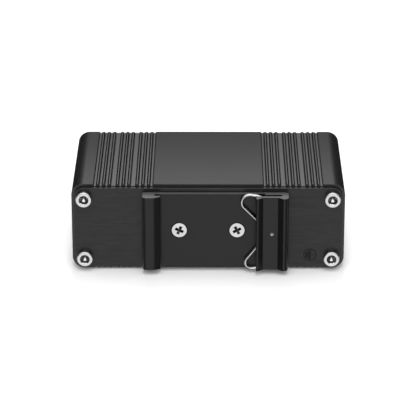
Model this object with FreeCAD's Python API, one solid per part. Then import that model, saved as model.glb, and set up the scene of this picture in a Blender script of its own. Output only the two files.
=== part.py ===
import FreeCAD, Part
import math
import os

# Serial to fibre converter for a 35 mm top-hat rail, lying on its broad ribbed side.
# X runs along the long side, Y from the rear plate with the rail clip to the front plate with
# the ports, and Z up. The origin is on the surface it lies on, under the middle of the object.
# Lengths are in millimetres.

V = FreeCAD.Vector
BACKWARD = V(0, -1, 0)
FORWARD = V(0, 1, 0)
UPWARD = V(0, 0, 1)

# Case, one extruded aluminium tube
CASE_W = 90.0
CASE_H = 30.0
CASE_L = 47.0
CASE_R = 4.0
SIDE_WALL = 2.0
BROAD_WALL = 2.4
ZONE_X = 27.9
GROUPS = 3
GROUP_PITCH = 6.45
RIBS_IN_GROUP = 3
RIB_PITCH = 1.9
RIB_W = 1.2
END_GROOVE = 0.7
GROOVE_DEPTH = 0.7
ZONE_EDGE_R = 0.35
SCREW_X = CASE_W / 2 - 4.2
SCREW_Z = (4.4, CASE_H - 4.4)
PORT_R = 3.4
SLOT_Z = 8.6
SLOT_GAP = 1.8
SLOT_LIP_T = 1.5
SLOT_LIP_D = 1.8

# End plates and their hex-socket cap screws
PLATE_T = 1.5
PLATE_INSET = 0.9
THREAD_R = 1.5
SHANK_R = 1.46
CLEAR_R = 1.7
CAP_R = 2.65
CAP_H = 2.1
CAP_EDGE = 0.3
CAP_SHANK = 8.0
HEX_FLATS = 2.5
HEX_DEPTH = 1.2

# Rail clip, one aluminium extrusion; its depths are measured from the rear plate's outer face
CLIP_Z = (1.9, 27.7)
CLIP_X = (-21.55, 26.3)
CLIP_REACH = 5.8
BASE_T = 1.5
HOOK_FRONT = 5.0
HOOK_BLOCK_X = -17.6
HOOK_TIP_X = -15.65
RAIL_SLOT = 2.9
HOOK_TIP_T = 0.9
HOOK_TIP_R = 0.4
HOOK_SLOPE_X = -17.9
HOOK_SLOPE_R = 2.0
LIP_X = 15.7
LIP_BACK = 3.3
LIP_FRONT = 4.5
BEAD_W = 0.75
LIP_FLAT_X = (17.95, 22.8)
RIDGE_X = 24.6
RELIEF_X = 16.3
RELIEF_DEPTH = 1.0
STEP_X = 18.65
STEP_DEPTH = 2.1
CHANNEL_X = 24.25
CLIP_EDGE = 0.4
HOOK_CORNER_R = 1.3
LIP_CORNER_R = 1.5
BACK_CORNER_R = 1.2
CLIP_SCREW_X = 9.5

# Clip fasteners: countersunk cross-head screws in press-in nuts
CSK_R = 2.5
CSK_LAND = 0.4
CSK_PROUD = 0.1
CSK_HOLE_R = 1.6
CLIP_SCREW_L = 6.0
CROSS_W = 0.75
CROSS_SPAN = 3.0
CROSS_DEPTH = 0.9
CROSS_TURN = (-18.0, 23.0)
NUT_SHANK_R = 2.1
NUT_SHANK_L = 1.4
NUT_R = 3.15
NUT_H = 1.6

# Wire spring, in one plane on the floor of the clip's channel, and the pin that it bears on
WIRE_R = 0.45
WIRE_DEPTH = STEP_DEPTH + WIRE_R
SPRING_PATH = (
    (22.6, 25.0, 0.0),
    (16.2, 27.46, 1.5),
    (5.95, 29.09, 2.71),
    (20.29, 14.56, 1.0),
    (9.14, 0.52, 2.2),
    (22.6, 2.91, 0.0),
)
PIN_R = 0.5
PIN_DEPTHS = (0.2, 4.4)
PIN_DIMPLE = 0.2

# Circuit board, and the square solder pins of everything that stands in it
BOARD_T = 1.6
BOARD_L = 45.5
BOARD_GAP = 0.2
BOARD_FRONT_GAP = 0.3
PIN_HOLE_R = 0.5
PIN_T = 0.6
PIN_BEND_R = 0.3
TAIL_BELOW = 1.2

# Duplex optical transceiver with two square fibre sockets
FIBRE_X = -26.4
FIBRE_W = 25.4
FIBRE_PITCH = 12.7
NOSE_H = 11.4
NOSE_BACK = 9.0
NOSE_PROUD = 2.5
NOSE_R = 0.6
NOSE_GAP = 0.2
MODULE_W = 24.6
MODULE_H = 10.0
MODULE_L = 25.0
SOCKET_W = 9.1
SOCKET_H = 7.5
SOCKET_DEPTH = 11.5
KEY_W = 2.6
KEY_DEPTH = 0.8
SLEEVE_R = 2.2
SLEEVE_BORE_R = 1.26
SLEEVE_L = 6.3
SLEEVE_EDGE = 0.4
LATCH_X = 3.3
LATCH_T = 0.8
LATCH_H = 2.6
LATCH_L = 6.2
LATCH_HOOK = 0.5
MODULE_PINS = 9
MODULE_PITCH = 2.54
MODULE_PIN_INSET = 2.0

# Nine-way serial socket
SERIAL_X = 8.6
SERIAL_RISE = 6.3
FLANGE_W = 30.8
FLANGE_H = 12.5
FLANGE_T = 0.8
FLANGE_R = 1.2
SHELL_W = 16.3
SHELL_H = 7.9
SHELL_L = 6.0
SHELL_R = 2.4
SHELL_WALL = 0.45
SHELL_SLANT = 10.0
SHELL_GAP = 0.6
FACE_INSET = 0.3
UPPER_CONTACTS = 5
LOWER_CONTACTS = 4
CONTACT_PITCH = 2.77
CONTACT_ROW = 1.42
CONTACT_R = 0.55
CONTACT_DEPTH = 4.5
REAR_BODY_W = 19.0
REAR_BODY_H = 11.0
REAR_BODY_L = 6.5
TAIL_REACH = (1.6, 4.4)
JACK_SPACING = 25.0
JACK_FLATS = 4.75
JACK_L = 5.0
JACK_STUD_R = 1.4
JACK_THREAD_R = 1.42
JACK_THREAD_L = 4.0
JACK_HOLE_R = 1.6
BRACKET_W = 5.0
BRACKET_H = 10.8
BRACKET_T = 2.0
BRACKET_FOOT = 6.5
BRACKET_FOOT_T = 1.0

# Three-way power terminal: board socket, plug, wire cages and clamp screws
POWER_X = 32.4
POWER_WAYS = 3
POWER_PITCH = 3.81
HEADER_W = 12.6
HEADER_H = 7.4
HEADER_L = 9.5
HEADER_WALL = 0.6
HEADER_BACK = 1.6
HEADER_GAP = 0.2
PLUG_W = 12.2
PLUG_Z = (10.4, 21.4)
PLUG_PROUD = 9.5
PLUG_R = 0.6
PLUG_NOSE_GAP = 0.1
PLUG_NOSE_L = 6.8
CAGE_W = 2.7
CAGE_H = 3.4
CAGE_L = 4.0
CAGE_WALL = 0.4
CAGE_Z = 12.6
ENTRY_L = 7.6
CLAMP_R = 1.25
CLAMP_HOLE_R = 1.35
CLAMP_L = 3.4
CLAMP_SLOT_W = 0.5
CLAMP_SLOT_DEPTH = 0.6
CLAMP_BACK = 4.0

# Status lamps between the two ports
LAMP_X = -10.2
LAMP_COUNT = 4
LAMP_PITCH = 3.3
LAMP_MID_Z = 17.25
LAMP_R = 1.0
LAMP_HOLE_R = 1.15
LAMP_PROUD = 0.6
LAMP_BLOCK_W = 4.2
LAMP_BLOCK_H = 14.0
LAMP_BLOCK_L = 6.5

# Board components: X of the middle, distance of the middle behind the case's front end, then the
# width, length and height
PROCESSOR = (4.0, 27.0, 10.0, 10.0, 1.4)
DRIVERS = ((-6.5, 16.0), (22.5, 20.0))
DRIVER_SIZE = (7.5, 10.3, 2.4)
CHIP_EDGE = 0.3
SUPPLY = (31.0, 36.5, 19.5, 10.5, 9.5)
SUPPLY_EDGE = 0.5
INDUCTOR = (35.0, 23.5, 8.0, 8.0, 4.5)
INDUCTOR_R = 1.5
CAPACITORS = ((15.0, 38.0), (35.0, 14.5))
CAPACITOR_R = 3.15
CAPACITOR_H = 7.7
CAPACITOR_FOOT = 1.0
CAPACITOR_GROOVE = 0.3
CRYSTAL = (-8.5, 37.0, 10.5, 4.4, 3.5)

# Places worked out from the sizes above; the object's middle in Y is the middle of its whole reach
REAR_REACH = PLATE_T + CLIP_REACH
FRONT_REACH = PLATE_T + PLUG_PROUD
CASE_REAR = (REAR_REACH - FRONT_REACH - CASE_L) / 2
CASE_FRONT = CASE_REAR + CASE_L
REAR_FACE = CASE_REAR - PLATE_T
FRONT_FACE = CASE_FRONT + PLATE_T
CLIP_MID_Z = sum(CLIP_Z) / 2
BOARD_TOP = SLOT_Z + BOARD_T
BOARD_FRONT = CASE_FRONT - BOARD_FRONT_GAP
SOCKET_Z = BOARD_TOP + NOSE_H / 2
NOSE_REAR = CASE_FRONT - NOSE_BACK
NOSE_FRONT = FRONT_FACE + NOSE_PROUD
SOCKET_FLOOR = NOSE_FRONT - SOCKET_DEPTH
SERIAL_Z = BOARD_TOP + SERIAL_RISE
FLANGE_BACK = CASE_FRONT - FLANGE_T
REAR_BODY_BACK = FLANGE_BACK - REAR_BODY_L
HEADER_REAR = FRONT_FACE - HEADER_L
POWER_Z = BOARD_TOP + HEADER_H / 2
PLUG_FRONT = FRONT_FACE + PLUG_PROUD
SAME_POINT = 1e-6


# Building blocks

def on_xz(y):
    return lambda point: V(point.x, y, point.y)


def on_xy(z):
    return lambda point: V(point.x, point.y, z)


def on_yz(x):
    return lambda point: V(x, point.x, point.y)


def on_clip(z):
    """Clip plane: the second coordinate is the depth out of the rear plate's outer face."""
    return lambda point: V(point.x, REAR_FACE - point.y, z)


def turn_corner(before, corner, after, radius):
    """Start, middle and end of the tangent arc that rounds a corner."""
    to_before = (before - corner).normalize()
    to_after = (after - corner).normalize()
    half = to_before.getAngle(to_after) / 2
    reach = radius / math.tan(half)
    inward = (to_before + to_after).normalize()
    middle = corner + inward * (radius / math.sin(half) - radius)
    return corner + to_before * reach, middle, corner + to_after * reach


def rounded_path(corners, place, closed=True):
    """Edges through corners (a, b, radius): straight runs joined by tangent arcs."""
    points = [V(a, b, 0) for a, b, radius in corners]
    turns = []
    for index, (a, b, radius) in enumerate(corners):
        if radius:
            after = points[(index + 1) % len(points)]
            turns.append(turn_corner(points[index - 1], points[index], after, radius))
        else:
            turns.append((points[index], None, points[index]))
    edges = []
    for index, (start, middle, end) in enumerate(turns):
        if middle:
            edges.append(Part.Arc(place(start), place(middle), place(end)).toShape())
        if closed or index + 1 < len(turns):
            following = turns[(index + 1) % len(turns)][0]
            if (following - end).Length > SAME_POINT:
                edges.append(Part.makeLine(place(end), place(following)))
    return edges


def prism(corners, place, along):
    return Part.Face(Part.Wire(rounded_path(corners, place))).extrude(along)


def turned(corners):
    """Solid of revolution about Y from corners (radius, y, corner radius)."""
    face = Part.Face(Part.Wire(rounded_path(corners, on_xy(0))))
    return face.revolve(V(0, 0, 0), FORWARD, 360)


def bent_wire(corners, place, radius, start_direction):
    """Round wire along a path in one plane."""
    path = Part.Wire(rounded_path(corners, place, closed=False))
    first = place(V(corners[0][0], corners[0][1], 0))
    section = Part.Wire(Part.makeCircle(radius, first, start_direction))
    return path.makePipeShell([section], True, False)


def rectangle(x, z, width, height, radius=0.0):
    across = width / 2
    up = height / 2
    return [
        (x - across, z - up, radius),
        (x + across, z - up, radius),
        (x + across, z + up, radius),
        (x - across, z + up, radius),
    ]


def hexagon(flats):
    reach = flats / math.sqrt(3)
    angles = [math.radians(60 * step) for step in range(6)]
    return [(reach * math.cos(angle), reach * math.sin(angle), 0) for angle in angles]


def block(xs, ys, zs):
    return Part.makeBox(xs[1] - xs[0], ys[1] - ys[0], zs[1] - zs[0], V(xs[0], ys[0], zs[0]))


def span(middle, width):
    return middle - width / 2, middle + width / 2


def evenly(middle, pitch, count):
    return [middle + (number - (count - 1) / 2) * pitch for number in range(count)]


def rod(radius, length, start, direction):
    return Part.makeCylinder(radius, length, start, direction)


def group(solids):
    return Part.makeCompound(list(solids))


def cut_all(shape, tools):
    return shape.cut(Part.makeCompound(list(tools)))


def corner_places():
    return [(side * SCREW_X, z) for side in (-1, 1) for z in SCREW_Z]


# Case and end plates

def rib_zone(middle):
    """Corners across one ribbed zone: grooves between ribs whose tops are half round."""
    floor = CASE_H - GROOVE_DEPTH
    half_group = (RIBS_IN_GROUP - 1) / 2
    half_row = (GROUPS - 1) / 2
    half_zone = half_row * GROUP_PITCH + half_group * RIB_PITCH + RIB_W / 2 + END_GROOVE
    corners = [(middle - half_zone, CASE_H, ZONE_EDGE_R), (middle - half_zone, floor, 0)]
    for number in range(GROUPS):
        for rib in range(RIBS_IN_GROUP):
            offset = (number - half_row) * GROUP_PITCH + (rib - half_group) * RIB_PITCH
            left, right = span(middle + offset, RIB_W)
            corners += [(left, floor, 0), (left, CASE_H, RIB_W / 2)]
            corners += [(right, CASE_H, RIB_W / 2), (right, floor, 0)]
    corners += [(middle + half_zone, floor, 0), (middle + half_zone, CASE_H, ZONE_EDGE_R)]
    return corners


def case_outline():
    """The upper broad face from left to right, then the same line turned half round for the lower."""
    upper = [(-CASE_W / 2, CASE_H, CASE_R)]
    upper += rib_zone(-ZONE_X)
    upper += rib_zone(ZONE_X)
    upper.append((CASE_W / 2, CASE_H, CASE_R))
    return upper + [(-x, CASE_H - z, radius) for x, z, radius in upper]


def slot_lips():
    """The two pairs of lips along the side walls that hold the board's edges."""
    lips = []
    wall = CASE_W / 2 - SIDE_WALL
    for side in (-1, 1):
        xs = sorted((side * wall, side * (wall - SLOT_LIP_D)))
        for low in (SLOT_Z - SLOT_LIP_T, SLOT_Z + SLOT_GAP):
            lips.append(block(xs, (CASE_REAR, CASE_FRONT), (low, low + SLOT_LIP_T)))
    return lips


def extruded_case():
    tube = prism(case_outline(), on_xz(CASE_REAR), FORWARD * CASE_L)
    xs = span(0, CASE_W - 2 * SIDE_WALL)
    hollow = block(xs, (CASE_REAR, CASE_FRONT), (BROAD_WALL, CASE_H - BROAD_WALL))
    ports = [rod(PORT_R, CASE_L, V(x, CASE_REAR, z), FORWARD) for x, z in corner_places()]
    bores = [rod(THREAD_R, CASE_L, V(x, CASE_REAR, z), FORWARD) for x, z in corner_places()]
    hollow = cut_all(hollow, ports + slot_lips())
    return cut_all(tube, [hollow] + bores)


def blank_plate(y):
    width = CASE_W - 2 * PLATE_INSET
    height = CASE_H - 2 * PLATE_INSET
    outline = rectangle(0, CASE_H / 2, width, height, CASE_R - PLATE_INSET)
    plate = prism(outline, on_xz(y), FORWARD * PLATE_T)
    return cut_all(plate, [rod(CLEAR_R, PLATE_T, V(x, y, z), FORWARD) for x, z in corner_places()])


def rear_plate():
    plate = blank_plate(REAR_FACE)
    seats = [V(x, REAR_FACE, CLIP_MID_Z) for x in (-CLIP_SCREW_X, CLIP_SCREW_X)]
    return cut_all(plate, [rod(NUT_SHANK_R, PLATE_T, seat, FORWARD) for seat in seats])


def front_plate():
    """End plate with the openings for the fibre nose, the lamps, the serial shell and the plug."""
    through = FORWARD * PLATE_T
    at_back = on_xz(CASE_FRONT)
    nose = rectangle(FIBRE_X, SOCKET_Z, FIBRE_W + 2 * NOSE_GAP, NOSE_H + 2 * NOSE_GAP, NOSE_R)
    header = rectangle(POWER_X, POWER_Z, HEADER_W + 2 * HEADER_GAP, HEADER_H + 2 * HEADER_GAP)
    tools = [prism(outline, at_back, through) for outline in (nose, header, d_outline(-SHELL_GAP))]
    for x in jack_places():
        tools.append(rod(JACK_HOLE_R, PLATE_T, V(x, CASE_FRONT, SERIAL_Z), FORWARD))
    for z in lamp_heights():
        tools.append(rod(LAMP_HOLE_R, PLATE_T, V(LAMP_X, CASE_FRONT, z), FORWARD))
    return cut_all(blank_plate(CASE_FRONT), tools)


def cap_screw():
    """Cap screw about Y, its head standing on the plane of the origin."""
    body = turned([
        (0, -CAP_SHANK, 0),
        (SHANK_R, -CAP_SHANK, 0),
        (SHANK_R, 0, 0),
        (CAP_R, 0, 0),
        (CAP_R, CAP_H - CAP_EDGE, 0),
        (CAP_R - CAP_EDGE, CAP_H, 0),
        (0, CAP_H, 0),
    ])
    return body.cut(prism(hexagon(HEX_FLATS), on_xz(CAP_H), BACKWARD * HEX_DEPTH))


def plate_screws(seat, turn):
    screws = []
    for x, z in corner_places():
        screw = cap_screw()
        screw.rotate(V(0, 0, 0), UPWARD, turn)
        screw.translate(V(x, seat, z))
        screws.append(screw)
    return group(screws)


# Rail clip

def clip_outline():
    """Section of the clip: fixed hook, base and spring channel, as (x, depth, corner radius)."""
    left, right = CLIP_X
    hook = [
        (left, 0, CLIP_EDGE),
        (left, HOOK_FRONT, HOOK_CORNER_R),
        (HOOK_SLOPE_X, HOOK_FRONT, HOOK_SLOPE_R),
        (HOOK_TIP_X, RAIL_SLOT + HOOK_TIP_T, HOOK_TIP_R),
        (HOOK_TIP_X, RAIL_SLOT, CLIP_EDGE / 2),
        (HOOK_BLOCK_X, RAIL_SLOT, CLIP_EDGE),
        (HOOK_BLOCK_X, BASE_T, CLIP_EDGE),
    ]
    channel = [
        (RELIEF_X, BASE_T, 0),
        (RELIEF_X, RELIEF_DEPTH, 0),
        (STEP_X, RELIEF_DEPTH, 0),
        (STEP_X, STEP_DEPTH, CLIP_EDGE / 2),
        (CHANNEL_X, STEP_DEPTH, CLIP_EDGE),
        (CHANNEL_X, LIP_BACK, CLIP_EDGE),
    ]
    lip = [
        (LIP_X, LIP_BACK, CLIP_EDGE / 2),
        (LIP_X, CLIP_REACH, CLIP_EDGE),
        (LIP_X + BEAD_W, CLIP_REACH, CLIP_EDGE / 2),
        (LIP_FLAT_X[0], LIP_FRONT, CLIP_EDGE),
        (LIP_FLAT_X[1], LIP_FRONT, CLIP_EDGE),
        (RIDGE_X, CLIP_REACH, CLIP_EDGE),
        (right, CLIP_REACH, LIP_CORNER_R),
        (right, 0, BACK_CORNER_R),
    ]
    return hook + channel + lip


def clip_screw_seats():
    return [V(x, REAR_FACE - BASE_T, CLIP_MID_Z) for x in (-CLIP_SCREW_X, CLIP_SCREW_X)]


def pin_place(depth):
    """Middle of the pin at a depth: against the outside of the spring's middle bend."""
    before, bend, after = [V(x, z, 0) for x, z, radius in SPRING_PATH[2:5]]
    middle = turn_corner(before, bend, after, SPRING_PATH[3][2])[1]
    outward = (bend - middle).normalize()
    centre = middle + outward * (WIRE_R + PIN_R)
    return V(centre.x, REAR_FACE - depth, centre.y)


def din_clip():
    """Extruded section with two countersunk screw holes, wider than the heads, and the pin's hole."""
    body = prism(clip_outline(), on_clip(CLIP_Z[0]), UPWARD * (CLIP_Z[1] - CLIP_Z[0]))
    mouth_r = CSK_R + CSK_LAND - CSK_PROUD
    cone_l = mouth_r - SHANK_R
    tools = [rod(PIN_R, CLIP_REACH, pin_place(CLIP_REACH), FORWARD)]
    for seat in clip_screw_seats():
        tools.append(Part.makeCone(mouth_r, SHANK_R, cone_l, seat, FORWARD))
        tools.append(rod(CSK_HOLE_R, BASE_T, seat, FORWARD))
    return cut_all(body, tools)


def cross_recess(turn):
    arms = rectangle(0, 0, CROSS_SPAN, CROSS_W, CROSS_W / 4)
    recess = prism(arms, on_xz(0), BACKWARD * CROSS_DEPTH)
    other = recess.copy()
    other.rotate(V(0, 0, 0), FORWARD, 90)
    recess = recess.fuse(other)
    recess.rotate(V(0, 0, 0), FORWARD, turn)
    return recess


def din_clip_screws():
    """Countersunk screws: flat head with a narrow land, cone and shank."""
    cone_end = CSK_LAND + CSK_R - SHANK_R
    screws = []
    for seat, turn in zip(clip_screw_seats(), CROSS_TURN):
        screw = turned([
            (0, -CLIP_SCREW_L, 0),
            (SHANK_R, -CLIP_SCREW_L, 0),
            (SHANK_R, -cone_end, 0),
            (CSK_R, -CSK_LAND, 0),
            (CSK_R, 0, 0),
            (0, 0, 0),
        ])
        screw = screw.cut(cross_recess(turn))
        screw.rotate(V(0, 0, 0), UPWARD, 180)
        screw.translate(seat + BACKWARD * CSK_PROUD)
        screws.append(screw)
    return group(screws)


def clip_nuts():
    """Press-in nuts: the shank fills the plate's hole, the flange bears on its inner face."""
    nuts = []
    for seat in clip_screw_seats():
        nut = turned([
            (THREAD_R, -NUT_SHANK_L, 0),
            (NUT_SHANK_R, -NUT_SHANK_L, 0),
            (NUT_SHANK_R, 0, 0),
            (NUT_R, 0, 0),
            (NUT_R, NUT_H, 0),
            (THREAD_R, NUT_H, 0),
        ])
        nut.translate(V(seat.x, CASE_REAR, seat.z))
        nuts.append(nut)
    return group(nuts)


def din_spring():
    """Wire from one end of the channel round a loop to the pin, and back round the other loop."""
    place = on_xz(REAR_FACE - WIRE_DEPTH)
    first = place(V(*SPRING_PATH[0][:2]))
    second = place(V(*SPRING_PATH[1][:2]))
    return bent_wire(SPRING_PATH, place, WIRE_R, second - first)


def spring_pin():
    """Pin pressed through the lip, its outer end dished."""
    inner, outer = PIN_DEPTHS
    pin = rod(PIN_R, outer - inner, pin_place(outer), FORWARD)
    dish = Part.makeCone(PIN_R - PIN_DIMPLE / 2, 0, PIN_DIMPLE, pin_place(outer), FORWARD)
    return pin.cut(dish)


# Circuit board and ports

def module_pin_places():
    y = NOSE_REAR - MODULE_L + MODULE_PIN_INSET
    return [(x, y) for x in evenly(FIBRE_X, MODULE_PITCH, MODULE_PINS)]


def contact_places():
    """Contacts as (x, row): five in the upper row and four in the lower."""
    upper = [(x, 1) for x in evenly(SERIAL_X, CONTACT_PITCH, UPPER_CONTACTS)]
    lower = [(x, -1) for x in evenly(SERIAL_X, CONTACT_PITCH, LOWER_CONTACTS)]
    return upper + lower


def tail_y(row):
    reach = TAIL_REACH[1] if row > 0 else TAIL_REACH[0]
    return REAR_BODY_BACK - reach


def power_places():
    return evenly(POWER_X, POWER_PITCH, POWER_WAYS)


def power_tail_y():
    return HEADER_REAR - TAIL_REACH[0]


def main_board():
    """Board between the slots, drilled for the solder pins."""
    xs = span(0, CASE_W - 2 * SIDE_WALL - 2 * BOARD_GAP)
    board = block(xs, (BOARD_FRONT - BOARD_L, BOARD_FRONT), (SLOT_Z, BOARD_TOP))
    holes = module_pin_places()
    holes += [(x, tail_y(row)) for x, row in contact_places()]
    holes += [(x, power_tail_y()) for x in power_places()]
    return cut_all(board, [rod(PIN_HOLE_R, BOARD_T, V(x, y, SLOT_Z), UPWARD) for x, y in holes])


def socket_middles():
    return span(FIBRE_X, FIBRE_PITCH)


def fibre_transceiver():
    """Nose with two keyed sockets through the front plate, and the module behind it."""
    outline = rectangle(FIBRE_X, SOCKET_Z, FIBRE_W, NOSE_H, NOSE_R)
    nose = prism(outline, on_xz(NOSE_REAR), FORWARD * (NOSE_FRONT - NOSE_REAR))
    module_z = BOARD_TOP + MODULE_H / 2
    module = rectangle(FIBRE_X, module_z, MODULE_W, MODULE_H, NOSE_R)
    body = nose.fuse(prism(module, on_xz(NOSE_REAR), BACKWARD * MODULE_L))
    tools = []
    for x in socket_middles():
        key_z = (SOCKET_Z + SOCKET_H / 2, SOCKET_Z + SOCKET_H / 2 + KEY_DEPTH)
        ys = (SOCKET_FLOOR, NOSE_FRONT)
        tools.append(block(span(x, SOCKET_W), ys, span(SOCKET_Z, SOCKET_H)))
        tools.append(block(span(x, KEY_W), ys, key_z))
    return cut_all(body, tools)


def ferrule_sleeves():
    sleeves = []
    for x in socket_middles():
        sleeve = turned([
            (SLEEVE_BORE_R, 0, 0),
            (SLEEVE_R, 0, 0),
            (SLEEVE_R, SLEEVE_L - SLEEVE_EDGE, 0),
            (SLEEVE_R - SLEEVE_EDGE, SLEEVE_L, 0),
            (SLEEVE_BORE_R, SLEEVE_L, 0),
        ])
        sleeve.translate(V(x, SOCKET_FLOOR, SOCKET_Z))
        sleeves.append(sleeve)
    return group(sleeves)


def fibre_latches():
    """Two arms in each socket, left and right of the sleeve, whose hooks hold the plug."""
    inner, outer = span(LATCH_X, LATCH_T)
    tip = SOCKET_FLOOR + LATCH_L
    hook = inner - LATCH_HOOK
    section = [
        (inner, SOCKET_FLOOR),
        (outer, SOCKET_FLOOR),
        (outer, tip),
        (inner, tip),
        (hook, tip - LATCH_HOOK),
        (hook, tip - 2 * LATCH_HOOK),
        (inner, tip - 2 * LATCH_HOOK),
    ]
    low = SOCKET_Z - LATCH_H / 2
    arms = []
    for middle in socket_middles():
        for side in (-1, 1):
            corners = [(middle + side * x, y, 0) for x, y in section]
            arms.append(prism(corners, on_xy(low), UPWARD * LATCH_H))
    return group(arms)


def transceiver_pins():
    zs = (SLOT_Z - TAIL_BELOW, BOARD_TOP)
    return group(block(span(x, PIN_T), span(y, PIN_T), zs) for x, y in module_pin_places())


def jack_places():
    return span(SERIAL_X, JACK_SPACING)


def d_outline(inset):
    """Shell outline: wide side up, slanted ends, set in by `inset` all round."""
    up = SHELL_H / 2 - inset
    across = SHELL_W / 2 - inset
    slant = 2 * up * math.tan(math.radians(SHELL_SLANT))
    radius = SHELL_R - inset
    return [
        (SERIAL_X - across, SERIAL_Z + up, radius),
        (SERIAL_X + across, SERIAL_Z + up, radius),
        (SERIAL_X + across - slant, SERIAL_Z - up, radius),
        (SERIAL_X - across + slant, SERIAL_Z - up, radius),
    ]


def serial_shell():
    """Pressed flange behind the front plate with the shell drawn out through it."""
    outline = rectangle(SERIAL_X, SERIAL_Z, FLANGE_W, FLANGE_H, FLANGE_R)
    shell = prism(outline, on_xz(FLANGE_BACK), FORWARD * FLANGE_T)
    shell = shell.fuse(prism(d_outline(0), on_xz(CASE_FRONT), FORWARD * SHELL_L))
    length = FLANGE_T + SHELL_L
    tools = [prism(d_outline(SHELL_WALL), on_xz(FLANGE_BACK), FORWARD * length)]
    for x in jack_places():
        tools.append(rod(JACK_HOLE_R, FLANGE_T, V(x, FLANGE_BACK, SERIAL_Z), FORWARD))
    return cut_all(shell, tools)


def serial_contact_block():
    """Insulator that fills the shell, with the nine contact holes in its face."""
    length = FLANGE_T + SHELL_L - FACE_INSET
    face = FLANGE_BACK + length
    insulator = prism(d_outline(SHELL_WALL), on_xz(FLANGE_BACK), FORWARD * length)
    tools = []
    for x, row in contact_places():
        mouth = V(x, face, SERIAL_Z + row * CONTACT_ROW)
        tools.append(rod(CONTACT_R, CONTACT_DEPTH, mouth, BACKWARD))
    return cut_all(insulator, tools)


def serial_rear_body():
    """Insulator behind the flange, standing on the board."""
    zs = (BOARD_TOP, BOARD_TOP + REAR_BODY_H)
    return block(span(SERIAL_X, REAR_BODY_W), (REAR_BODY_BACK, FLANGE_BACK), zs)


def right_angle_pin(x, start_y, z, down_y):
    """Square pin that leaves a body to the rear and turns down through the board."""
    low = SLOT_Z - TAIL_BELOW
    half = PIN_T / 2
    corners = [
        (start_y, z + half, 0),
        (start_y, z - half, 0),
        (down_y + half, z - half, PIN_BEND_R),
        (down_y + half, low, 0),
        (down_y - half, low, 0),
        (down_y - half, z + half, PIN_BEND_R + PIN_T),
    ]
    return prism(corners, on_yz(x - half), V(PIN_T, 0, 0))


def serial_contacts():
    tails = []
    for x, row in contact_places():
        z = SERIAL_Z + row * CONTACT_ROW
        tails.append(right_angle_pin(x, REAR_BODY_BACK, z, tail_y(row)))
    return group(tails)


def serial_brackets():
    """Angle brackets: upright behind the flange, tapped for the hex post, and a foot on the board."""
    brackets = []
    for x in jack_places():
        xs = span(x, BRACKET_W)
        upright = block(xs, (FLANGE_BACK - BRACKET_T, FLANGE_BACK), (BOARD_TOP, BOARD_TOP + BRACKET_H))
        foot_z = (BOARD_TOP, BOARD_TOP + BRACKET_FOOT_T)
        foot = block(xs, (FLANGE_BACK - BRACKET_FOOT, FLANGE_BACK), foot_z)
        hole = rod(JACK_THREAD_R, BRACKET_T, V(x, FLANGE_BACK, SERIAL_Z), BACKWARD)
        brackets.append(upright.fuse(foot).removeSplitter().cut(hole))
    return group(brackets)


def serial_jackscrews():
    """Hex posts on the front plate, tapped in front, with a stud through plate, flange and bracket."""
    stud_l = PLATE_T + FLANGE_T + BRACKET_T
    posts = []
    for x in jack_places():
        post = prism(hexagon(JACK_FLATS), on_xz(0), FORWARD * JACK_L)
        post = post.fuse(rod(JACK_STUD_R, stud_l, V(0, 0, 0), BACKWARD))
        post = post.cut(rod(JACK_THREAD_R, JACK_THREAD_L, V(0, JACK_L, 0), BACKWARD))
        post.translate(V(x, FRONT_FACE, SERIAL_Z))
        posts.append(post)
    return group(posts)


# Power terminal

def header_hollow(gap):
    """Outline of the space inside the board socket, smaller by `gap` for the plug's nose."""
    wall = HEADER_WALL + gap
    return rectangle(POWER_X, POWER_Z, HEADER_W - 2 * wall, HEADER_H - 2 * wall)


def power_header():
    zs = (BOARD_TOP, BOARD_TOP + HEADER_H)
    body = block(span(POWER_X, HEADER_W), (HEADER_REAR, FRONT_FACE), zs)
    inner = HEADER_REAR + HEADER_BACK
    tools = [prism(header_hollow(0), on_xz(inner), FORWARD * (FRONT_FACE - inner))]
    for x in power_places():
        tools.append(block(span(x, PIN_T), (HEADER_REAR, inner), span(POWER_Z, PIN_T)))
    return cut_all(body, tools)


def power_pins():
    """Pins through the socket's rear wall into the plug, turned down into the board."""
    start = FRONT_FACE - PLUG_NOSE_L / 2
    return group(right_angle_pin(x, start, POWER_Z, power_tail_y()) for x in power_places())


def power_plug():
    """Plug with a nose in the board socket, three wire entries in front and three screw holes on top."""
    low, high = PLUG_Z
    outline = rectangle(POWER_X, (low + high) / 2, PLUG_W, high - low, PLUG_R)
    at_plate = on_xz(FRONT_FACE)
    body = prism(outline, at_plate, FORWARD * PLUG_PROUD)
    body = body.fuse(prism(header_hollow(PLUG_NOSE_GAP), at_plate, BACKWARD * PLUG_NOSE_L))
    tools = []
    for x in power_places():
        entry_z = (CAGE_Z, CAGE_Z + CAGE_H)
        screw_foot = V(x, PLUG_FRONT - CLAMP_BACK, CAGE_Z)
        tools.append(block(span(x, CAGE_W), (PLUG_FRONT - ENTRY_L, PLUG_FRONT), entry_z))
        tools.append(rod(CLAMP_HOLE_R, high - CAGE_Z, screw_foot, UPWARD))
        tools.append(rod(PIN_HOLE_R, PLUG_NOSE_L, V(x, FRONT_FACE, POWER_Z), BACKWARD))
    return cut_all(body, tools)


def power_clamps():
    """Wire cages: short square tubes at the back of the wire entries."""
    cages = []
    rear = PLUG_FRONT - ENTRY_L
    for x in power_places():
        ys = (rear, rear + CAGE_L)
        cage = block(span(x, CAGE_W), ys, (CAGE_Z, CAGE_Z + CAGE_H))
        inner_z = (CAGE_Z + CAGE_WALL, CAGE_Z + CAGE_H - CAGE_WALL)
        cages.append(cage.cut(block(span(x, CAGE_W - 2 * CAGE_WALL), ys, inner_z)))
    return group(cages)


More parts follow.
